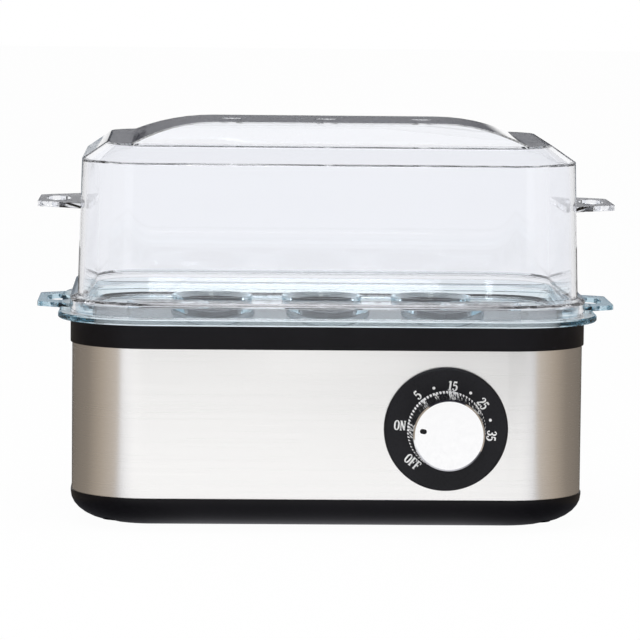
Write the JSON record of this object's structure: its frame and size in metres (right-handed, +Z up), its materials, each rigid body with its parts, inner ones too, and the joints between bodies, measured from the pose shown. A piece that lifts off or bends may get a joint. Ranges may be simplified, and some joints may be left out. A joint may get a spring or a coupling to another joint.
{
  "type": "electric egg cooker",
  "caption": "Table-top electric egg cooker: steel-banded base with a timer knob, a heated water pan, a clear tinted egg tray with finger ears and a clear vented lid.",
  "frame": {"origin": "on the table, under the middle of the footprint that ears, tray and knob span", "axes": "+X to the right ear, +Y to the back, away from the knob, +Z up"},
  "size_m": [0.2292, 0.171, 0.1566],
  "materials": {
    "black_plastic": "satin black moulded plastic",
    "brushed_steel": "brushed along the band",
    "clear": "clear polished plastic",
    "teal_clear": "clear plastic with a blue-green tint",
    "chrome": "bright plated plastic",
    "rubber": "matte",
    "silicone": "matte",
    "coated_pan": "dark non-stick coating",
    "heater_sheath": "dull",
    "ceramic": "matte ceramic",
    "ivory_plastic": "matte moulded plastic",
    "brass": "plain",
    "zinc_steel": "zinc plated"
  },
  "bodies": {
    "base": {"base_shell": "black_plastic", "rubber_feet": "rubber", "base_screws": "zinc_steel", "steel_band": "brushed_steel", "top_rim": "black_plastic", "heating_pan": "coated_pan", "pan_seal": "silicone", "pan_studs": "zinc_steel", "pan_nuts": "zinc_steel", "clamp_bars": "zinc_steel", "heating_element": "heater_sheath", "element_terminals": "ceramic", "thermostat": "ceramic", "thermostat_bracket": "zinc_steel", "thermal_fuse": "ceramic", "fuse_clip": "zinc_steel", "terminal_block": "ivory_plastic", "block_screws": "brass", "cord_gland": "rubber", "dial_ring": "black_plastic", "panel_screws": "zinc_steel", "timer_plate": "zinc_steel", "timer_case": "ivory_plastic", "timer_bolts": "zinc_steel", "timer_bush": "brass", "timer_tabs": "brass", "timer_bell": "zinc_steel", "bell_nut": "zinc_steel"},
    "knob": {"knob": "chrome", "timer_shaft": "zinc_steel", "timer_cam": "brass", "shaft_clip": "zinc_steel"},
    "tray": {"egg_tray": "teal_clear"},
    "lid": {"lid": "clear"}
  },
  "joints": [
    {"name": "knob_turn", "type": "hinge", "parent": "base", "child": "knob", "pos_m": [0.0451, -0.06415, 0.0408], "axis": [0, -1, 0], "range_deg": [-180, 54]},
    {"name": "tray_lift", "type": "slide", "parent": "base", "child": "tray", "axis": [0, 0, 1], "range_m": [0, 0.12]},
    {"name": "lid_lift", "type": "slide", "parent": "tray", "child": "lid", "axis": [0, 0, 1], "range_m": [0, 0.12]}
  ]
}
